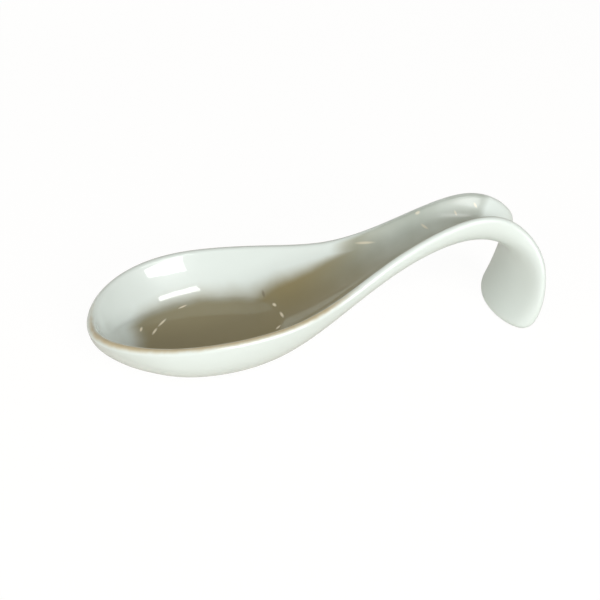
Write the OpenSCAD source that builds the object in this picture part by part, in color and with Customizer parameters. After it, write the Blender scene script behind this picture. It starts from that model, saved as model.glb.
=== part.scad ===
// Hook-handled porcelain soup spoon.
// The origin is the middle of the flat foot under the bowl, on the table. The nose of the bowl
// points to -X, the handle rises to +X, and the two sides of the XZ plane are alike.

/* [Bowl] */
// Distance from the middle of the foot to the nose of the bowl
nose_reach = 26.8; // [24:0.2:30]
// Height of the rim at the nose
nose_h = 10.8; // [9.8:0.2:12]
// Height of the rim at the widest part of the bowl
rim_h = 15; // [14:0.2:17]
// Width over the rim at the widest part of the bowl
bowl_w = 49.6; // [45:0.2:55]
// Distance from the middle of the foot to the neck, where the bowl runs out into the handle
neck_reach = 59.6; // [56:0.2:63]
// Height of the rim at the neck
neck_h = 27; // [25:0.2:30]
// Squareness of the bowl's cross-section, where 2 is an ellipse
bowl_squareness = 2.7; // [2.1:0.05:3]
// Angle by which the inner wall leans outwards just under the lip
flare = 22; // [14:1:28]

/* [Handle] */
// Distance from the middle of the foot to the top of the arch
arch_reach = 83.4; // [80:0.2:86]
// Height of the rim at the top of the arch
arch_h = 34.6; // [32:0.2:38]
// Width of the channelled handle at its narrowest
handle_w = 16; // [14:0.2:19]
// Depth of the handle, from its rim to its underside
handle_depth = 8; // [7:0.2:9]

/* [Hook] */
// Distance from the middle of the foot to the outer face of the hook
hook_reach = 100.2; // [98:0.2:103]
// Width of the leaf at the end of the hook
leaf_w = 31; // [28:0.2:35]
// Depth of the leaf, from its rim to its back
leaf_depth = 5.6; // [5:0.1:6.5]
// Distance from the middle of the foot to the toe, where the leaf curls back to the table
toe_reach = 94.4; // [93:0.1:96]

/* [Wall and glaze] */
// Thickness of the porcelain under the bowl and along the handle
wall = 2.6; // [2.2:0.1:3]
// Thickness of the porcelain at the lip
lip_t = 2; // [1.6:0.1:2.4]
// Thickness of the rounded edge at the nose and at the toe
edge_h = 2.4; // [2:0.1:2.8]
// Height of the flat floor inside the bowl above the table
floor_h = 3.6; // [3:0.1:4.4]
// Depth of clay ground off under the bowl to make the foot flat
foot_cut = 0.5; // [0.3:0.05:0.8]
// Thickness of the glaze
glaze_t = 0.25; // [0.1:0.05:0.35]
// Height of the band round the foot that is wiped clean of glaze
bare_h = 0.5; // [0.3:0.1:0.9]

/* [Smoothness] */
// Cross-sections along the spoon
sections = 52; // [36:2:60]
// Facets on a quarter of the outer and of the inner cross-section
quarter_facets = 7; // [5:1:8]

/* [Hidden] */

// Half widths, on which the rim's outline is drawn
half_bowl = bowl_w / 2;
half_handle = handle_w / 2;
half_leaf = leaf_w / 2;
// Height that the rim gains from the nose to the widest part of the bowl
nose_rise = rim_h - nose_h;
// Least depth of the hollow face of the leaf
dish = edge_h / 4;
// Depth of the lip's round below the rim's curve, so that its crown shows where the curve runs
lip_drop = lip_t / 4;
// Radius that eases the floor of the bowl into its walls
floor_ease = lip_t / 4;
// How far the hollow's curve would run on below the floor, which makes the floor broad and flat
floor_sink = 2 * wall;
// Greatest lean of the inner wall, as a share of its depth, that still leaves the hollow round
lean_share = 0.45;

// Three curves shape the spoon, each steered by the same number of places from the nose to the
// toe. A curve starts and ends on its first and last place, and passes near the rest.
// The rim seen from the side: x along the spoon, and z
rim_places = [
    [-nose_reach, nose_h],
    [-nose_reach, nose_h],
    [-0.914 * nose_reach, nose_h + 0.2 * nose_rise],
    [-0.597 * nose_reach, nose_h + 0.69 * nose_rise],
    [-0.022 * nose_reach, nose_h + 1.05 * nose_rise],
    [0.423 * neck_reach, nose_h + 1.07 * nose_rise],
    [0.725 * neck_reach, 0.659 * neck_h],
    [neck_reach, neck_h],
    [arch_reach, 1.092 * arch_h],
    [0.963 * hook_reach, 0.844 * arch_h],
    [1.01 * hook_reach, 0.565 * arch_h],
    [0.989 * hook_reach, 0.2 * foot_cut],
    [toe_reach, -0.4 * foot_cut],
    [toe_reach, -0.4 * foot_cut],
];
// The underside along the middle of the spoon, in the same terms
keel_places = [
    [-nose_reach + 0.15 * lip_t, nose_h - edge_h],
    [-0.996 * nose_reach, 0.43 * nose_h],
    [-0.646 * nose_reach, -1.4 * foot_cut],
    [-0.265 * nose_reach, -0.6 * foot_cut],
    [0.048 * nose_reach, -1.2 * foot_cut],
    [0.372 * neck_reach, -1.2 * foot_cut],
    [0.68 * neck_reach, 0.348 * neck_h],
    [1.045 * neck_reach, 0.781 * neck_h],
    [0.953 * arch_reach, 1.092 * arch_h - 1.34 * handle_depth],
    [0.963 * hook_reach - 0.4 * handle_depth, 0.844 * arch_h - 0.65 * handle_depth],
    [1.01 * hook_reach - 0.59 * leaf_depth, 0.42 * arch_h],
    [0.989 * hook_reach - 1.16 * leaf_depth, 0.089 * arch_h],
    [toe_reach - 2 * edge_h, -0.4 * foot_cut],
    [toe_reach - edge_h, -0.4 * foot_cut],
];
// Half the width over the rim, seen from above
width_places = [
    0,
    0.173 * half_bowl,
    0.46 * half_bowl,
    0.81 * half_bowl,
    1.048 * half_bowl,
    0.944 * half_bowl,
    0.6 * half_bowl,
    1.05 * half_handle,
    half_handle,
    0.925 * half_handle,
    0.968 * half_leaf,
    1.052 * half_leaf,
    0.832 * half_leaf,
    0,
];

// The curves are cubic B-splines, and a place along the spoon is a share from 0 to 1
degree = 3;
last_place = len(rim_places) - 1;
spans = last_place - degree + 1;
// Step with which a curve's direction is found
step_share = 0.002;
// Stretch of the spoon, as shares, over which the bowl's squareness fades into the round handle
bowl_end_share = 0.3;
handle_start_share = 0.65;
// Stretch of the spoon, as shares, that lies on the foot
foot_shares = [0.22, 0.3];
// Share at which the hollow face of the leaf starts to close towards the toe
closing_share = 0.9;

function knot(i) = min(max(i - degree, 0), spans) / spans;
function in_span(i, u) = u >= knot(i) && (u < knot(i + 1) || (u == 1 && knot(i) < 1 && knot(i + 1) == 1));
function weight(i, d, u) =
    d == 0 ? (in_span(i, u) ? 1 : 0) :
    let (before = knot(i + d) - knot(i), after = knot(i + d + 1) - knot(i + 1))
    (before > 0 ? (u - knot(i)) / before * weight(i, d - 1, u) : 0)
    + (after > 0 ? (knot(i + d + 1) - u) / after * weight(i + 1, d - 1, u) : 0);
function total(values, i = 0) = i == len(values) - 1 ? values[i] : values[i] + total(values, i + 1);
function curve(places, u) = total([for (i = [0:last_place]) weight(i, degree, u) * places[i]]);
// Rate of change of a curve along the spoon
function slope(places, u) =
    let (a = max(0, u - step_share), b = min(1, u + step_share))
    (curve(places, b) - curve(places, a)) / (b - a);

function unit(v) = v / norm(v);
function ease(t) = let (c = min(max(t, 0), 1)) c * c * (3 - 2 * c);
function mix(a, b, t) = a + (b - a) * t;
// The larger of two heights, eased where they meet
function eased_max(a, b, r) = (a + b + sqrt((a - b) * (a - b) + r * r)) / 2;
function squareness(u) =
    mix(bowl_squareness, 2, ease((u - bowl_end_share) / (handle_start_share - bowl_end_share)));

// Direction from the underside up to the rim, and the direction square to it along the spoon
function up(u) = unit(curve(rim_places, u) - curve(keel_places, u));
function along(u) = let (v = up(u)) [v.y, -v.x];
// A point of the rim's outline moved inwards by d: x, z and the half width
function rim_inset(u, d) =
    let (
        forward = slope(rim_places, u) * along(u),
        widening = slope(width_places, u),
        speed = norm([forward, widening]),
        rim = curve(rim_places, u) + along(u) * d * widening / speed - up(u) * lip_drop
    )
    [rim.x, rim.y, max(0, curve(width_places, u) - d * forward / speed)];
// The middle line of a surface that lies d inside the underside
function keel_inset(u, d) =
    let (v = unit(slope(keel_places, u)))
    curve(keel_places, u) + d * [-v.y, v.x];
// How much of the floor is there: 1 where the underside lies on the table, 0 along the handle
function flooring(u) = u < 2 * bowl_end_share ? ease(1 - curve(keel_places, u).y / floor_h) : 0;
// The middle line of the hollow, run on below the floor and closed towards the toe
function hollow_line(u, grow) =
    let (
        bottom = keel_inset(u, wall + grow) - [0, floor_sink * flooring(u)],
        rim = rim_inset(u, lip_t + grow),
        shallow = [rim.x, rim.y] - up(u) * (dish - grow)
    )
    mix(bottom, shallow, ease((u - closing_share) / (1 - closing_share)));
// The height to which the floor fills the hollow
function floor_line(u, grow) =
    eased_max(floor_h + grow, keel_inset(u, wall + grow).y, floor_ease * flooring(u));

// One half of a cross-section, from the middle of the underside round the lip to the middle of
// the hollow. grow is how far the surface stands out from the bare porcelain.
function half_section(u, grow) =
    let (
        outer = rim_inset(u, -grow),
        inner = rim_inset(u, lip_t + grow),
        keel = keel_inset(u, -grow),
        hollow = hollow_line(u, grow),
        share = 2 / squareness(u),
        soft = floor_ease * flooring(u),
        lift = up(u),
        middle = (outer + inner) / 2,
        radius = norm(outer - inner) / 2,
        brink = middle - (outer - middle) * cos(flare) + [lift.x, lift.y, 0] * radius * sin(flare),
        drop = norm([brink.x, brink.y] - hollow),
        lean = min(lean_share, tan(flare) * drop / max(brink.z, lip_t / 100)),
        widest = acos(lean / (1 - lean))
    )
    concat(
        [for (j = [0:quarter_facets])
            let (
                a = 90 * j / quarter_facets,
                down = pow(cos(a), share),
                side = pow(sin(a), share)
            )
            [mix(outer.x, keel.x, down), outer.z * side, mix(outer.y, keel.y, down)]
        ],
        [for (j = [1:lip_facets - 1])
            let (
                a = (180 - flare) * j / lip_facets,
                p = middle + (outer - middle) * cos(a)
            )
            [p.x + lift.x * radius * sin(a), p.z, p.y + lift.y * radius * sin(a)]
        ],
        [for (j = [quarter_facets:-1:0])
            let (
                a = widest * j / quarter_facets,
                down = (cos(a) - cos(widest)) / (1 - cos(widest)),
                z = mix(brink.y, hollow.y, down)
            )
            [
                mix(brink.x, hollow.x, down),
                brink.z * sin(a) / sin(widest),
                soft > 0 ? eased_max(z, floor_line(u, grow), soft) : z
            ]
        ]
    );
lip_facets = 4;
half_points = 2 * (quarter_facets + 1) + lip_facets - 1;
ring_points = 2 * (half_points - 1);

// A full cross-section: the half above, then its mirror image without the two middle points
function full_section(u, grow) =
    let (half = half_section(u, grow))
    concat(half, [for (j = [half_points - 2:-1:1]) [half[j].x, -half[j].y, half[j].z]]);
// Number of a point: the first and last sections lie in the middle plane, so their two halves
// share one set of points
function index(i, j) =
    let (k = j % ring_points, folded = min(k, ring_points - k))
    i == 0 ? folded :
    i == sections ? half_points + (sections - 1) * ring_points + folded :
    half_points + (i - 1) * ring_points + k;

// The points of the whole surface, section by section
function shell_points(grow) = concat(
    [for (p = half_section(0, grow)) [p.x, 0, p.z]],
    [for (i = [1:sections - 1]) each full_section(i / sections, grow)],
    [for (p = half_section(1, grow)) [p.x, 0, p.z]]
);
shell_count = 2 * half_points + (sections - 1) * ring_points;
// The part of the surface left open under the foot runs between two sections, one facet to each
// side of the middle
foot_start = round(foot_shares[0] * sections);
foot_end = round(foot_shares[1] * sections);
function under_foot(i, j) = i >= foot_start && i < foot_end && (j == 0 || j == ring_points - 1);
foot_loop = concat(
    [for (i = [foot_start:foot_end]) index(i, ring_points - 1)],
    [index(foot_end, 0)],
    [for (i = [foot_end:-1:foot_start]) index(i, 1)],
    [index(foot_start, 0)]
);
// The surface's triangles, wound outwards
function triangles(open) = [
    for (i = [0:sections - 1], j = [0:ring_points - 1])
        let (a = index(i, j), b = index(i, j + 1), c = index(i + 1, j + 1), d = index(i + 1, j))
        if (!open || !under_foot(i, j))
            each [if (a != b) [a, c, b], if (c != d) [a, d, c]]
];

// The solid bounded by the bare porcelain's surface
module clay() polyhedron(shell_points(0), triangles(false), convexity = 6);
// The skin between that surface and one that stands out from it, open under the foot
module skin(thickness) {
    inside = shell_count;
    turned = [for (t = triangles(true)) [t[0] + inside, t[2] + inside, t[1] + inside]];
    last = len(foot_loop) - 1;
    edge = [
        for (i = [0:last])
            let (a = foot_loop[i], b = foot_loop[i == last ? 0 : i + 1])
            each [[a, b, b + inside], [a, b + inside, a + inside]]
    ];
    polyhedron(concat(shell_points(thickness), shell_points(0)), concat(triangles(true), turned, edge), 8);
}
// Everything above a height over the table
module above(height) {
    reach = 2 * hook_reach;
    translate([-reach, -reach, height]) cube([2 * reach, 2 * reach, reach]);
}

// The fired clay: bowl, channelled handle and hook in one piece, ground flat under the bowl
module porcelain_body() color([0.93, 0.93, 0.90]) intersection() {
    clay();
    above(0);
}
// The pale green glass that covers the clay, down to the bare ring round the foot
module glaze() color([0.87, 0.91, 0.88]) intersection() {
    skin(glaze_t);
    above(bare_h);
}
porcelain_body();
glaze();
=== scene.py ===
# %% [markdown]
# # A hook-handled porcelain soup spoon
# The real spoon is one piece of porcelain: a deep oval bowl with a flat floor runs up into a
# channelled handle, which arches over and hooks down to the table in a broad curled leaf. It was
# pressed in a mould, dipped in a clear, faintly green glaze and fired standing on its foot. The
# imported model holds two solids, the fired clay and the glaze on it. This script draws both again
# with smooth surfaces, from the same few sizes, and gives them their finish.

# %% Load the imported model
import math

import bmesh
import bpy
import numpy as np
from mathutils import Matrix, Vector


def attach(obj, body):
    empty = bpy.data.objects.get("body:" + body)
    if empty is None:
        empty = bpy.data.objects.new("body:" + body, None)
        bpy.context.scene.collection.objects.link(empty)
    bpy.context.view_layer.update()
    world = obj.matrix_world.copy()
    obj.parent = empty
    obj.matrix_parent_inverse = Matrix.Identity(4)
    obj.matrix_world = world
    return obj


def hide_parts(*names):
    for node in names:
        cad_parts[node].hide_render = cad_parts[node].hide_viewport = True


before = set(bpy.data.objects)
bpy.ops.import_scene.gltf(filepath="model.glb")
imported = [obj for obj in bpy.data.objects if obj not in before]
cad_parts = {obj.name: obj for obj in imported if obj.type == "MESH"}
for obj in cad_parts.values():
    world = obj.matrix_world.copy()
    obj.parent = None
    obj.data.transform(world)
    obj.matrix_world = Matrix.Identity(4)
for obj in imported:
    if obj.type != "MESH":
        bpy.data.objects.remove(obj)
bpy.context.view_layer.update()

# %% [markdown]
# ## Sizes
# The sizes are the solid model's own, in millimetres. The origin is the middle of the foot, the
# nose of the bowl points to -X and the handle rises to +X. Blender works in metres here, so one
# factor turns millimetres into metres.

# %% Name the sizes
MM = 0.001
nose_reach, nose_h = 26.8, 10.8
rim_h, bowl_w = 15.0, 49.6
neck_reach, neck_h = 59.6, 27.0
arch_reach, arch_h = 83.4, 34.6
handle_w, handle_depth = 16.0, 8.0
hook_reach, toe_reach = 100.2, 94.4
leaf_w, leaf_depth = 31.0, 5.6
wall, lip_t, edge_h = 2.6, 2.0, 2.4
floor_h, foot_cut = 3.6, 0.5
glaze_t, bare_h = 0.25, 0.5
print("length of the bare clay:", nose_reach + hook_reach, "mm")

# %% [markdown]
# ## The three curves that shape it
# A loft is steered by curves, as a boat's hull is by its lines. Here they are the rim seen from
# the side, the underside seen from the side, and half the width seen from above. Each is a cubic
# B-spline: a smooth curve that a few places pull towards themselves. Curves drawn by hand would do
# as well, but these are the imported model's own, so the two models meet.

# %% Place the curves
half_bowl, half_handle, half_leaf = bowl_w / 2, handle_w / 2, leaf_w / 2
nose_rise = rim_h - nose_h
rim_places = np.array([
    (-nose_reach, nose_h),
    (-nose_reach, nose_h),
    (-0.914 * nose_reach, nose_h + 0.2 * nose_rise),
    (-0.597 * nose_reach, nose_h + 0.69 * nose_rise),
    (-0.022 * nose_reach, nose_h + 1.05 * nose_rise),
    (0.423 * neck_reach, nose_h + 1.07 * nose_rise),
    (0.725 * neck_reach, 0.659 * neck_h),
    (neck_reach, neck_h),
    (arch_reach, 1.092 * arch_h),
    (0.963 * hook_reach, 0.844 * arch_h),
    (1.01 * hook_reach, 0.565 * arch_h),
    (0.989 * hook_reach, 0.2 * foot_cut),
    (toe_reach, -0.4 * foot_cut),
    (toe_reach, -0.4 * foot_cut),
])
keel_places = np.array([
    (-nose_reach + 0.15 * lip_t, nose_h - edge_h),
    (-0.996 * nose_reach, 0.43 * nose_h),
    (-0.646 * nose_reach, -1.4 * foot_cut),
    (-0.265 * nose_reach, -0.6 * foot_cut),
    (0.048 * nose_reach, -1.2 * foot_cut),
    (0.372 * neck_reach, -1.2 * foot_cut),
    (0.68 * neck_reach, 0.348 * neck_h),
    (1.045 * neck_reach, 0.781 * neck_h),
    (0.953 * arch_reach, 1.092 * arch_h - 1.34 * handle_depth),
    (0.963 * hook_reach - 0.4 * handle_depth, 0.844 * arch_h - 0.65 * handle_depth),
    (1.01 * hook_reach - 0.59 * leaf_depth, 0.42 * arch_h),
    (0.989 * hook_reach - 1.16 * leaf_depth, 0.089 * arch_h),
    (toe_reach - 2 * edge_h, -0.4 * foot_cut),
    (toe_reach - edge_h, -0.4 * foot_cut),
])
width_places = np.array([
    0.0, 0.173 * half_bowl, 0.46 * half_bowl, 0.81 * half_bowl, 1.048 * half_bowl,
    0.944 * half_bowl, 0.6 * half_bowl, 1.05 * half_handle, half_handle,
    0.925 * half_handle, 0.968 * half_leaf, 1.052 * half_leaf, 0.832 * half_leaf, 0.0,
])
print("places along each curve:", len(rim_places))

# %% Evaluate a B-spline and its direction
DEGREE = 3
spans = len(rim_places) - DEGREE


def knot(i):
    """Where knot i lies along the curve. Four lie on each end, which clamps it there."""
    return min(max(i - DEGREE, 0), spans) / spans


def weight(i, d, u):
    """How strongly place i pulls at u, which runs from 0 at the nose to 1 at the toe."""
    if d == 0:
        closed = knot(i) < 1 and knot(i + 1) == 1
        return ((u >= knot(i)) & ((u < knot(i + 1)) | ((u == 1) & closed))).astype(float)
    before, after = knot(i + d) - knot(i), knot(i + d + 1) - knot(i + 1)
    pull = np.zeros_like(u)
    if before > 0:
        pull += (u - knot(i)) / before * weight(i, d - 1, u)
    if after > 0:
        pull += (knot(i + d + 1) - u) / after * weight(i + 1, d - 1, u)
    return pull


def curve(places, u):
    """The curve's points at u, each a sum of the places by their weights."""
    pulls = np.stack([weight(i, DEGREE, u) for i in range(len(places))], axis=-1)
    return pulls @ places


def slope(places, u, step=0.002):
    """How fast the curve changes with u, measured between two points close to it."""
    a, b = np.maximum(0, u - step), np.minimum(1, u + step)
    rise = curve(places, b) - curve(places, a)
    return rise / ((b - a) if rise.ndim == 1 else (b - a)[:, None])


rim_line = curve(rim_places, np.linspace(0, 1, 201))
print("highest point of the rim:", round(rim_line[:, 1].max(), 1), "mm")

# %% [markdown]
# ## The cross-section
# Each cross-section is a U. The outside follows a squared ellipse from the underside up to the
# rim. The lip is an arc that goes a little past its top, down to the brink. From the brink the
# inside leans outwards by the flare, turns and comes down to the hollow, which has a flat floor in
# the bowl. The wall is found by moving the rim's outline inwards and the underside upwards. A
# number called grow pushes the whole surface out, which turns the clay's surface into the glaze's.

# %% Work out a cross-section's frame
bowl_squareness = 2.7
flare = math.radians(22)
bowl_end, handle_start, closing_start = 0.3, 0.65, 0.9
dish, floor_ease, lip_drop = edge_h / 4, lip_t / 4, lip_t / 4
floor_sink, lean_share = 2 * wall, 0.45


def ease(t):
    """Rises softly from 0 to 1 as t does."""
    t = np.clip(t, 0, 1)
    return t * t * (3 - 2 * t)


def mix(a, b, t):
    """The point at share t of the way from a to b."""
    return a + (b - a) * t


def unit(v):
    """The same directions with a length of 1."""
    return v / np.linalg.norm(v, axis=-1, keepdims=True)


def rim_inset(u, d):
    """The rim's outline moved inwards by d: its x and z, and its half width."""
    up = unit(curve(rim_places, u) - curve(keel_places, u))
    along = np.stack([up[:, 1], -up[:, 0]], axis=-1)
    forward = (slope(rim_places, u) * along).sum(1)
    widening = slope(width_places, u)
    speed = np.hypot(forward, widening)
    rim = curve(rim_places, u) + along * (d * widening / speed)[:, None] - up * lip_drop
    return rim, np.maximum(0, curve(width_places, u) - d * forward / speed), up


def keel_inset(u, d):
    """The underside's curve moved into the clay by d."""
    v = unit(slope(keel_places, u))
    return curve(keel_places, u) + d * np.stack([-v[:, 1], v[:, 0]], axis=-1)


def eased_max(a, b, r):
    """The larger of two heights, eased where they meet."""
    return (a + b + np.hypot(a - b, r)) / 2


def hollow_line(u, grow):
    """The middle line of the hollow's curve, the floor's height and how softly the two meet."""
    rim, _, up = rim_inset(u, lip_t + grow)
    bottom = keel_inset(u, wall + grow)
    flooring = np.where(u < 2 * bowl_end, ease(1 - curve(keel_places, u)[:, 1] / floor_h), 0)
    soft = floor_ease * flooring
    floor_line = eased_max(floor_h + grow, bottom[:, 1], soft)
    sunk = bottom - np.stack([0 * u, floor_sink * flooring], axis=-1)
    closing = ease((u - closing_start) / (1 - closing_start))[:, None]
    return mix(sunk, rim - up * (dish - grow), closing), floor_line, soft


# %% Find a point of the surface
OUTSIDE, LIP = 28, 8
HALF_RING = 2 * OUTSIDE + LIP


def surface(u, ring, grow):
    """Points at u along the spoon and at steps ring round it, which start underneath."""
    folded = np.minimum(ring, 2 * HALF_RING - ring)
    side = np.where(ring <= HALF_RING, 1.0, -1.0)
    outer, outer_w, up = rim_inset(u, -grow)
    inner, inner_w, _ = rim_inset(u, lip_t + grow)
    keel = keel_inset(u, -grow)
    hollow, floor_line, soft = hollow_line(u, grow)
    share = 2 / mix(bowl_squareness, 2.0, ease((u - bowl_end) / (handle_start - bowl_end)))

    angle = np.clip(folded / OUTSIDE, 0, 1) * math.pi / 2
    down, out = np.cos(angle).clip(0, 1) ** share, np.sin(angle).clip(0, 1) ** share
    outside = mix(outer, keel, down[:, None])

    turn = np.clip((folded - OUTSIDE) / LIP, 0, 1) * (math.pi - flare)
    middle, middle_w = (outer + inner) / 2, (outer_w + inner_w) / 2
    radius = np.sqrt(((outer - inner) ** 2).sum(1) + (outer_w - inner_w) ** 2) / 2
    lip = middle + (outer - middle) * np.cos(turn)[:, None] + up * (radius * np.sin(turn))[:, None]
    lip_w = middle_w + (outer_w - middle_w) * np.cos(turn)

    brink = middle - (outer - middle) * math.cos(flare) + up * (radius * math.sin(flare))[:, None]
    brink_w = middle_w - (outer_w - middle_w) * math.cos(flare)
    drop = np.linalg.norm(brink - hollow, axis=-1)
    lean = np.minimum(lean_share, math.tan(flare) * drop / np.maximum(brink_w, lip_t / 100))
    widest = np.arccos(lean / (1 - lean))
    angle = np.clip((2 * OUTSIDE + LIP - folded) / OUTSIDE, 0, 1) * widest
    sunk = (np.cos(angle) - np.cos(widest)) / (1 - np.cos(widest))
    inside = mix(brink, hollow, sunk[:, None])
    inside_w = brink_w * np.sin(angle) / np.sin(widest)
    inside[:, 1] = np.where(soft > 0, eased_max(inside[:, 1], floor_line, soft), inside[:, 1])

    is_out, is_in = folded < OUTSIDE, folded > OUTSIDE + LIP
    xz = np.where(is_out[:, None], outside, np.where(is_in[:, None], inside, lip))
    y = np.where(is_out, outer_w * out, np.where(is_in, inside_w, lip_w)) * side
    return np.stack([xz[:, 0], y, xz[:, 1]], axis=-1) * MM


middle_points = surface(np.array([0.25, 0.5]), np.zeros(2), 0.0)
print("underside at u = 0.25 and 0.5, in metres:", middle_points.round(4).tolist())

# %% [markdown]
# ## From a flat grid to a closed skin
# A grid has just the right pattern of faces for this: one way along the spoon, the other way round
# the cross-section. It is made flat, each vertex is carried to its place on the surface, and then
# merging doubles closes the seam along the underside and the two ends. Three numbers are kept at
# each vertex for the finish: how near it is to the tan line on the lip, which is clay on the bowl
# and painted shade along the handle, how much olive lies there for thick glaze and for painted
# shade in the hollow, and how far its colour has turned from the bowl's to the handle's, which
# leaves painted shade on the channel's near side. An image painted on the spoon could hold them
# too, but a number at a vertex needs no unwrapping.

# %% Say where the glaze runs thin and thick, and where shade is painted
# Pairs are the u at which a change starts and ends. The tan line is placed in shares of the lip.
# The olive and grey green stand for thick glaze and for painted shade, darker further into the
# hollow. Across the spoon the tan fades and the tint grows, each from its own value on the middle
# line, so the channel's near side keeps more olive as painted shade.
TAN_AND_SHADE_FADES = (0.4, 0.56)
TAN_MIDDLE, TAN_BREADTH = 0.6, 0.8
TAN_ON_MIDDLE, TAN_SPREAD = 0.72, 0.7 * bowl_w
HANDLE_TINT = (0.41, 0.57)
TINT_ON_MIDDLE, LEAST_TINT = 0.7, 0.1
POOL_AND_SHADE_STARTS, POOL_AND_SHADE_ENDS = (0.03, 0.17), (0.665, 0.705)
DEEPEST, STEEPER_ON_HANDLE, WEAKER_ON_HANDLE = 0.62, 1.3, 0.25


def ramp(t, start, end):
    """Rises softly from 0 where t is start to 1 where it is end."""
    return ease((t - start) / (end - start))


def finish_numbers(u, folded, y):
    """For each vertex: the tan line, thick glaze with painted shade, and the turn of its colour."""
    on_handle = ramp(u, *HANDLE_TINT)
    from_tan = abs(folded - OUTSIDE - TAN_MIDDLE * LIP) / (TAN_BREADTH * LIP)
    front = np.minimum(1.0, TAN_ON_MIDDLE - y / TAN_SPREAD)
    # The tan is clay under thin glaze on the bowl's lip and painted shade along the handle's lip
    lip = np.maximum(0.0, 1.0 - from_tan) * (1 - ramp(u, *TAN_AND_SHADE_FADES)) * front
    inwards = np.clip((folded - OUTSIDE - LIP) / OUTSIDE, 0, None)
    inwards = inwards * (1 + STEEPER_ON_HANDLE * on_handle)
    from_rim = on_handle * ramp(folded, OUTSIDE + LIP / 8, OUTSIDE + 9 * LIP / 8)
    # Painted shade, darker further into the hollow; on the floor it also stands for thick glaze
    hidden = np.maximum(inwards, from_rim).clip(None, DEEPEST)
    in_pool_and_shade = ramp(u, *POOL_AND_SHADE_STARTS) * (1 - ramp(u, *POOL_AND_SHADE_ENDS))
    depth = hidden * in_pool_and_shade * (1 - WEAKER_ON_HANDLE * on_handle)
    # Painted shade: the channel's near side keeps more of the darker olive
    channel = on_handle * np.clip(TINT_ON_MIDDLE + y / handle_w, LEAST_TINT, 1)
    return {"lip": lip, "depth": depth, "channel": channel}


print("the channel has its full tint from u =", HANDLE_TINT[1])

# %% Make the surface from a grid
# Rounding puts the grid's outer vertices exactly on the seam and on the two ends.
ALONG = 220
SNAP = 0.001 * MM


def wrap_grid(name, grow):
    """A closed mesh of the spoon's surface, which stands out from the clay by grow."""
    mesh = bmesh.new()
    bmesh.ops.create_grid(mesh, x_segments=ALONG, y_segments=2 * HALF_RING, size=0.5)
    flat = np.array([vert.co[:2] for vert in mesh.verts]) + 0.5
    u = np.clip(flat[:, 0], 0, 1).round(9)
    ring = (flat[:, 1] * 2 * HALF_RING).round(6)
    points = surface(u, ring, grow)
    for vert, point in zip(mesh.verts, points):
        vert.co = point
    folded = np.minimum(ring, 2 * HALF_RING - ring)
    for attribute, numbers in finish_numbers(u, folded, points[:, 1] / MM).items():
        layer = mesh.verts.layers.float.new(attribute)
        for vert, number in zip(mesh.verts, numbers):
            vert[layer] = number
    bmesh.ops.remove_doubles(mesh, verts=mesh.verts, dist=10 * SNAP)
    bmesh.ops.dissolve_degenerate(mesh, dist=5 * SNAP, edges=mesh.edges)
    bmesh.ops.recalc_face_normals(mesh, faces=mesh.faces)
    open_edges = sum(not e.is_manifold for e in mesh.edges)
    print(name, "has", len(mesh.faces), "faces and", open_edges, "open edges")
    return mesh


def finish_piece(mesh, name, node, material):
    """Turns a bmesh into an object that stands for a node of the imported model."""
    data = bpy.data.meshes.new(name)
    mesh.to_mesh(data)
    mesh.free()
    data.shade_smooth()
    piece = bpy.data.objects.new(name, data)
    bpy.context.scene.collection.objects.link(piece)
    data.materials.append(material)
    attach(piece, "root")
    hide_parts(node)
    print(name, "stands for", node, "with", len(data.vertices), "vertices")


# %% [markdown]
# ## Finishes
# A material is a small network of nodes. It could be drawn in Blender's editor, but written down it
# can be read and run again. One function adds a node, sets it up and links it, and another turns a
# colour written as sRGB hex into the linear numbers that Blender works in.

# %% Helpers for materials
def colour(text):
    """Turns an sRGB hex colour such as #E5EFED into linear red, green, blue and alpha."""
    parts = [int(text[i:i + 2], 16) / 255 for i in (1, 3, 5)]
    linear = [c / 12.92 if c <= 0.04045 else ((c + 0.055) / 1.055) ** 2.4 for c in parts]
    return (*linear, 1.0)


def add(tree, kind, inputs=None, **settings):
    """Adds a node: settings are its own options, inputs are values or sockets to link."""
    node = tree.nodes.new(kind)
    for key, value in settings.items():
        setattr(node, key, value)
    for key, value in (inputs or {}).items():
        if isinstance(value, bpy.types.NodeSocket):
            tree.links.new(value, node.inputs[key])
        else:
            node.inputs[key].default_value = value
    return node


def new_material(name):
    """A material and its network, which is still empty."""
    material = bpy.data.materials.new(name)
    material.use_nodes = True
    material.node_tree.nodes.clear()
    return material, material.node_tree


print("half grey is", round(colour("#808080")[0], 3), "in linear numbers")

# %% [markdown]
# ## Glazed porcelain
# The clay is white porcelain under a clear glaze with a trace of iron, which makes it faintly
# green. The olive on the floor of the bowl and the grey green down the channel are partly glaze
# that ran together thick and partly painted shade, which is darker further into the hollow and
# on the channel's near side. The glaze is thin on the bowl's near lip, where the fired clay shows
# through as a soft tan line; the same tan runs on along the handle's lip as painted shade. Its
# surface is as smooth as glass, but for the slow waves that a dipped coat has, and it shines less
# on the handle. Short pale strokes and one dark mark lie where the photo shows them. The pale
# strokes are painted reflections of things in the room that aren't modelled here. Each is drawn as
# a thin ellipsoid that the surface passes through, which needs no image.

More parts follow.
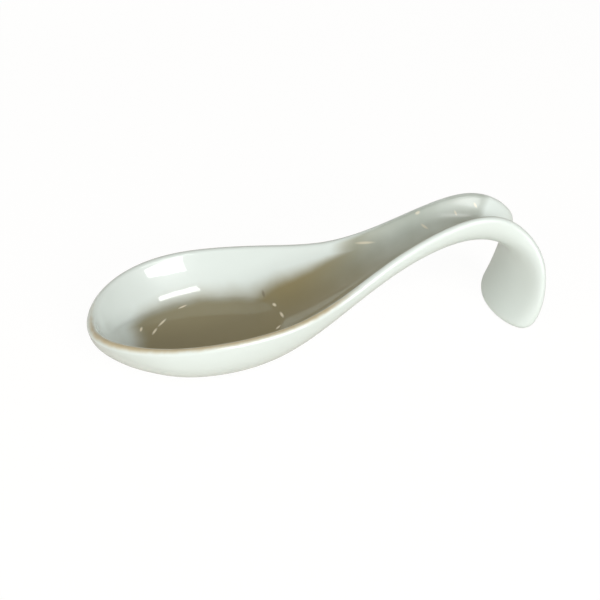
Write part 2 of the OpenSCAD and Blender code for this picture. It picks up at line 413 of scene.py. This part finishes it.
# %% Place the strokes, which are painted reflections
# Each has its middle's x, y and z, its turn in degrees and half its length. A group adds half the
# breadth and the strength, and so does the mark.
BOWL_GLINTS = [
    (-12.6, 3.8, 3.9, 78, 1.4), (-8.9, 2.1, 3.9, 63, 2.0), (-6.5, 5.8, 3.9, 53, 2.5),
    (0.1, 12.5, 3.9, 28, 1.8), (26.3, 5.6, 5.6, -70, 1.3), (27.4, -0.2, 6.0, -82, 1.9),
    (25.5, -4.9, 5.2, 31, 1.1),
]
HANDLE_GLINTS = [
    (53.5, 7.7, 22.2, -26, 4.2), (68.4, 6.5, 31.0, -4, 0.9), (69.8, 3.6, 28.0, -48, 1.6),
    (78.9, 4.0, 31.1, -61, 0.9), (85.0, 4.8, 32.5, -37, 1.0),
]
GLINT_GROUPS = [(BOWL_GLINTS, 0.48, 1.0), (HANDLE_GLINTS, 0.36, 0.5)]
DARK_MARK = (24.1, 11.6, 5.8, -86, 1.8, 0.5, 0.45)
STROKE_HEIGHT = 1.2


def add_stroke(tree, where, x, y, z, turn, reach, breadth, strength):
    """A short stroke on the surface: strength along its middle, and 0 outside it."""
    inside = add(tree, "ShaderNodeMapping", {
        "Vector": where, "Location": (x * MM, y * MM, z * MM),
        "Rotation": (0, 0, math.radians(turn)),
        "Scale": (reach * MM, breadth * MM, STROKE_HEIGHT * MM),
    }, vector_type="TEXTURE").outputs["Vector"]
    away = add(tree, "ShaderNodeVectorMath", {0: inside}, operation="LENGTH").outputs["Value"]
    return add(tree, "ShaderNodeMapRange", {
        "Value": away, "From Min": 0.4, "From Max": 1.0, "To Min": strength, "To Max": 0.0,
    }).outputs["Result"]


print("pale strokes:", len(BOWL_GLINTS) + len(HANDLE_GLINTS))

# %% Make the glazed porcelain
# In millimetres: the clouds in the thick glaze and painted shade, the patches in the tan line, and
# the waves and how deep they are. Between DULL_FROM and DULL_TO along X the shine goes down to the
# handle's share.
CLOUDS, PATCHES, WAVES = 14, 2.5, 6
WAVE_DEPTH = 0.05
DULL_FROM, DULL_TO, HANDLE_SHINE = 42, 62, 0.2


def make_glazed_porcelain():
    material, tree = new_material("glazed_porcelain")
    where = add(tree, "ShaderNodeTexCoord").outputs["Object"]
    depth = add(tree, "ShaderNodeAttribute", attribute_name="depth").outputs["Fac"]
    lip = add(tree, "ShaderNodeAttribute", attribute_name="lip").outputs["Fac"]
    cloud = add(tree, "ShaderNodeTexNoise", {
        "Vector": where, "Scale": 1 / (CLOUDS * MM), "Detail": 3.0,
    }).outputs["Fac"]

    soft = add(tree, "ShaderNodeMath", {0: cloud, 1: -0.5}, operation="ADD").outputs[0]
    uneven = add(tree, "ShaderNodeMath", {
        0: soft, 1: 0.2, 2: depth,
    }, operation="MULTIPLY_ADD").outputs[0]
    # Olive and grey green: thick glaze and painted shade in the hollows
    pool_and_shade_share = add(tree, "ShaderNodeMapRange", {
        "Value": uneven, "From Min": 0.24, "From Max": 0.6, "To Min": 0.0, "To Max": 0.92,
    }, interpolation_type="SMOOTHSTEP").outputs["Result"]
    channel = add(tree, "ShaderNodeAttribute", attribute_name="channel").outputs["Fac"]
    # The channel's near side takes more of the darker olive, as painted shade
    pool_and_shade_colour = add(tree, "ShaderNodeMix", {
        0: channel, 6: colour("#8C7D46"), 7: colour("#9AA297"),
    }, data_type="RGBA").outputs[2]
    base = add(tree, "ShaderNodeMix", {
        0: pool_and_shade_share, 6: colour("#E5EFED"), 7: pool_and_shade_colour,
    }, data_type="RGBA").outputs[2]

    # The pale strokes are painted reflections of things in the room
    painted_glints = 0.0
    for strokes, breadth, strength in GLINT_GROUPS:
        for place in strokes:
            stroke = add_stroke(tree, where, *place, breadth, strength)
            painted_glints = add(tree, "ShaderNodeMath", {
                0: painted_glints, 1: stroke,
            }, operation="MAXIMUM").outputs[0]
    glinted = add(tree, "ShaderNodeMix", {
        0: painted_glints, 6: base, 7: colour("#F6ECD4"),
    }, data_type="RGBA").outputs[2]
    flaw = add_stroke(tree, where, *DARK_MARK)
    flawed = add(tree, "ShaderNodeMix", {
        0: flaw, 6: glinted, 7: colour("#5C4A36"),
    }, data_type="RGBA").outputs[2]

    broken = add(tree, "ShaderNodeTexNoise", {
        "Vector": where, "Scale": 1 / (PATCHES * MM), "Detail": 2.0,
    }).outputs["Fac"]
    # Tan for clay under thin glaze on the bowl's lip and painted shade along the handle's lip
    tan_and_shade = add(tree, "ShaderNodeMath", {
        0: broken, 1: 0.3, 2: lip,
    }, operation="MULTIPLY_ADD").outputs[0]
    tan = add(tree, "ShaderNodeMapRange", {
        "Value": tan_and_shade, "From Min": 0.55, "From Max": 1.15, "To Min": 0.0, "To Max": 0.9,
    }, interpolation_type="SMOOTHSTEP").outputs["Result"]
    skin = add(tree, "ShaderNodeMix", {
        0: tan, 6: flawed, 7: colour("#C9B88F"),
    }, data_type="RGBA").outputs[2]

    waves = add(tree, "ShaderNodeTexNoise", {
        "Vector": where, "Scale": 1 / (WAVES * MM), "Detail": 1.0,
    }).outputs["Fac"]
    bump = add(tree, "ShaderNodeBump", {
        "Height": waves, "Distance": WAVE_DEPTH * MM, "Strength": 0.5,
    }).outputs["Normal"]
    along = add(tree, "ShaderNodeSeparateXYZ", {0: where}).outputs["X"]
    shine = add(tree, "ShaderNodeMapRange", {
        "Value": along, "From Min": DULL_FROM * MM, "From Max": DULL_TO * MM,
        "To Min": 1.0, "To Max": HANDLE_SHINE,
    }).outputs["Result"]
    shader = add(tree, "ShaderNodeBsdfPrincipled", {
        "Base Color": skin, "Roughness": 0.35, "IOR": 1.5, "Coat Weight": shine,
        "Coat Roughness": 0.03, "Coat IOR": 1.5, "Coat Normal": bump, "Normal": bump,
    })
    add(tree, "ShaderNodeOutputMaterial", {"Surface": shader.outputs["BSDF"]})
    return material


glazed_porcelain = make_glazed_porcelain()
print("nodes in glazed porcelain:", len(glazed_porcelain.node_tree.nodes))

# %% [markdown]
# ## Bare porcelain
# The potter wipes the foot clean, so that the spoon doesn't stick to the kiln's shelf. There the
# porcelain shows as it was fired: dry, warm white and finely grained, as its clay is ground finer
# than a tenth of a millimetre. The grain is drawn at 0.3 mm, which is coarser, so that it shows.

# %% Make the bare porcelain
# In millimetres: the grain, the stains and the grain's depth.
GRAIN, STAIN = 0.3, 9
GRAIN_DEPTH = 0.03


def make_bare_porcelain():
    material, tree = new_material("bare_porcelain")
    where = add(tree, "ShaderNodeTexCoord").outputs["Object"]
    grain = add(tree, "ShaderNodeTexNoise", {
        "Vector": where, "Scale": 1 / (GRAIN * MM), "Detail": 4.0,
    }).outputs["Fac"]
    stain = add(tree, "ShaderNodeTexNoise", {
        "Vector": where, "Scale": 1 / (STAIN * MM), "Detail": 3.0,
    }).outputs["Fac"]
    tone = add(tree, "ShaderNodeMapRange", {
        "Value": stain, "From Min": 0.4, "From Max": 0.7, "To Min": 0.0, "To Max": 0.6,
    }).outputs["Result"]
    clay = add(tree, "ShaderNodeMix", {
        0: tone, 6: colour("#E7E1D2"), 7: colour("#D3C5A8"),
    }, data_type="RGBA").outputs[2]
    bump = add(tree, "ShaderNodeBump", {
        "Height": grain, "Distance": GRAIN_DEPTH * MM, "Strength": 0.6,
    }).outputs["Normal"]
    shader = add(tree, "ShaderNodeBsdfPrincipled", {
        "Base Color": clay, "Roughness": 0.75, "IOR": 1.5, "Normal": bump,
    })
    add(tree, "ShaderNodeOutputMaterial", {"Surface": shader.outputs["BSDF"]})
    return material


bare_porcelain = make_bare_porcelain()
print("nodes in bare porcelain:", len(bare_porcelain.node_tree.nodes))

# %% [markdown]
# ## The fired clay
# The clay's surface runs a little below the table under the bowl and at the toe, where the real one
# was ground flat. Cutting the mesh along the table and filling the cuts gives the same flats. A
# boolean with a block would too, but a plain cut is quicker and leaves cleaner edges.

# %% Make the fired clay
clay_mesh = wrap_grid("fired_clay", 0.0)
bmesh.ops.bisect_plane(
    clay_mesh, geom=clay_mesh.verts[:] + clay_mesh.edges[:] + clay_mesh.faces[:],
    plane_co=(0, 0, 0), plane_no=(0, 0, -1), clear_outer=True, dist=SNAP)
bmesh.ops.holes_fill(clay_mesh, edges=[e for e in clay_mesh.edges if e.is_boundary], sides=0)
bmesh.ops.recalc_face_normals(clay_mesh, faces=clay_mesh.faces)
print("open edges after the cut:", sum(not e.is_manifold for e in clay_mesh.edges))
finish_piece(clay_mesh, "fired_clay", "porcelain_body", bare_porcelain)

# %% [markdown]
# ## The glaze
# The glaze is the same surface grown by a quarter of a millimetre. It ends half a millimetre above
# the table, where it was wiped off. Its edge is turned in to the clay, so that no gap shows there.
# The Solidify modifier could grow the clay as well, but it would thicken the cut flats with it.

# %% Make the glaze
# The edge is turned in by 0.6 mm, towards the middle of the foot or of the toe.
turn_in = 0.6
glaze_mesh = wrap_grid("glaze_coat", glaze_t)
bmesh.ops.bisect_plane(
    glaze_mesh, geom=glaze_mesh.verts[:] + glaze_mesh.edges[:] + glaze_mesh.faces[:],
    plane_co=(0, 0, bare_h * MM), plane_no=(0, 0, -1), clear_outer=True, dist=SNAP)
wiped = [e for e in glaze_mesh.edges if e.is_boundary]
turned_in = bmesh.ops.extrude_edge_only(glaze_mesh, edges=wiped)["geom"]
for vert in [g for g in turned_in if isinstance(g, bmesh.types.BMVert)]:
    middle_x = 0.0 if vert.co.x < neck_reach * MM else toe_reach * MM
    towards = Vector((middle_x, 0.0, vert.co.z))
    vert.co += (towards - vert.co).normalized() * turn_in * MM
bmesh.ops.recalc_face_normals(glaze_mesh, faces=glaze_mesh.faces)
print("edges along the wiped bands:", len(wiped))
finish_piece(glaze_mesh, "glaze_coat", "glaze", glazed_porcelain)

# %% [markdown]
# ## Table, light and camera
# The photograph was taken on white in a dim, warm room. Two windows at the front right, one low and
# one high, make the bright bands on the far wall of the bowl. A pale wall at the left lights the
# near side and the leaf, and a low one behind lights the side that the photo doesn't show. Both are
# kept out of reflections, as the photo shows none of them. The table and the room look white to
# the camera and a quarter as white in reflections, since the photo's glaze mirrors a dim room. The
# table keeps a trace of the spoon's shadow. It lies 0.02 mm below the foot, so that the two faces
# aren't in one plane.

# %% Make the table
MIRRORED = 0.25
TABLE_WHITE, TABLE_GLOW = 0.9, 1.06
TABLE_HALF, BELOW_FOOT = 1.2, 0.02


def whiteness(tree):
    """How white the surroundings look: 1 to the camera, MIRRORED in gloss and glass, else 0."""
    path = add(tree, "ShaderNodeLightPath")
    bounced = add(tree, "ShaderNodeMath", {
        0: path.outputs["Is Glossy Ray"], 1: path.outputs["Is Transmission Ray"],
    }, operation="MAXIMUM").outputs[0]
    return add(tree, "ShaderNodeMath", {
        0: bounced, 1: MIRRORED, 2: path.outputs["Is Camera Ray"],
    }, operation="MULTIPLY_ADD").outputs[0]


def make_white_table():
    material, tree = new_material("white_table")
    seen = add(tree, "ShaderNodeMath", {
        0: whiteness(tree), 1: TABLE_WHITE,
    }, operation="MULTIPLY").outputs[0]
    paper = add(tree, "ShaderNodeBsdfDiffuse", {"Color": colour("#DAD6CC")}).outputs[0]
    white = add(tree, "ShaderNodeEmission", {
        "Color": (1, 1, 1, 1), "Strength": TABLE_GLOW,
    }).outputs[0]
    both = add(tree, "ShaderNodeMixShader", {0: seen, 1: paper, 2: white}).outputs[0]
    add(tree, "ShaderNodeOutputMaterial", {"Surface": both})
    return material


table_mesh = bmesh.new()
bmesh.ops.create_grid(table_mesh, x_segments=1, y_segments=1, size=TABLE_HALF)
table_data = bpy.data.meshes.new("table")
table_mesh.to_mesh(table_data)
table_mesh.free()
table = bpy.data.objects.new("table", table_data)
table.location.z = -BELOW_FOOT * MM
bpy.context.scene.collection.objects.link(table)
table_data.materials.append(make_white_table())
print("table:", 2 * TABLE_HALF, "m across")

# %% Light the room
ROOM_STRENGTH = 0.33
world = bpy.data.worlds.new("room")
bpy.context.scene.world = world
world.use_nodes = True
room = world.node_tree
room.nodes.clear()
dim = add(room, "ShaderNodeBackground", {
    "Color": colour("#DCD3BE"), "Strength": ROOM_STRENGTH,
}).outputs[0]
white = add(room, "ShaderNodeBackground", {"Color": (1, 1, 1, 1), "Strength": 1.0}).outputs[0]
shown = add(room, "ShaderNodeMixShader", {0: whiteness(room), 1: dim, 2: white}).outputs[0]
add(room, "ShaderNodeOutputWorld", {"Surface": shown})
print("strength of the dim room:", ROOM_STRENGTH)

# %% Hang the lamps
LAMP_DISTANCE = 0.6
LIT_POINT = Vector((0.02, 0.0, 0.01))


def add_window(name, azimuth, elevation, width, height, power):
    """A soft lamp, placed and sized by angles in degrees; azimuth 0 is +X and 90 is +Y."""
    turn, lift = math.radians(azimuth), math.radians(elevation)
    lamp = bpy.data.lights.new(name, "AREA")
    lamp.shape = "RECTANGLE"
    lamp.size = 2 * LAMP_DISTANCE * math.tan(math.radians(width) / 2)
    lamp.size_y = 2 * LAMP_DISTANCE * math.tan(math.radians(height) / 2)
    lamp.energy = power
    holder = bpy.data.objects.new(name, lamp)
    bpy.context.scene.collection.objects.link(holder)
    direction = Vector((
        math.cos(turn) * math.cos(lift), math.sin(turn) * math.cos(lift), math.sin(lift)))
    holder.location = LIT_POINT + LAMP_DISTANCE * direction
    holder.rotation_euler = (-direction).to_track_quat("-Z", "Y").to_euler()
    extent = (round(lamp.size, 2), round(lamp.size_y, 2))
    print(name, "measures", extent, "m and gives", power, "W")
    return holder


add_window("window_low", -66, 20, 30, 14, 1.7)
add_window("window_high", -67, 47, 29, 7, 0.8)
pale_wall = add_window("pale_wall", -150, 14, 40, 25, 1.6)
back_wall = add_window("back_wall", 94, 4, 60, 4, 1.3)
for wall_lamp in (pale_wall, back_wall):
    wall_lamp.visible_glossy = False

# %% Aim the camera
VIEW_AZIMUTH, VIEW_ELEVATION = math.radians(-11.8), math.radians(34.86)
VIEW_DISTANCE = 0.2601
LOOKED_AT = Vector((0.0328, 0.0, 0.0102))
PIXELS_PER_MM, FRAME_PIXELS, SENSOR = 3.5, 600, 36.0
NEAR_CLIP = 0.01

back = Vector((
    math.sin(VIEW_AZIMUTH) * math.cos(VIEW_ELEVATION),
    -math.cos(VIEW_AZIMUTH) * math.cos(VIEW_ELEVATION),
    math.sin(VIEW_ELEVATION)))
right = Vector((math.cos(VIEW_AZIMUTH), math.sin(VIEW_AZIMUTH), 0.0))
up = back.cross(right)
camera_data = bpy.data.cameras.new("camera")
camera_data.sensor_width = SENSOR
camera_data.lens = SENSOR * PIXELS_PER_MM * (VIEW_DISTANCE / MM) / FRAME_PIXELS
camera_data.clip_start = NEAR_CLIP
camera = bpy.data.objects.new("camera", camera_data)
bpy.context.scene.collection.objects.link(camera)
turned = Matrix((right, up, back)).transposed().to_4x4()
camera.matrix_world = Matrix.Translation(LOOKED_AT + VIEW_DISTANCE * back) @ turned
bpy.context.scene.camera = camera
bpy.context.scene.view_settings.view_transform = "Standard"
print("lens:", round(camera_data.lens, 1), "mm")
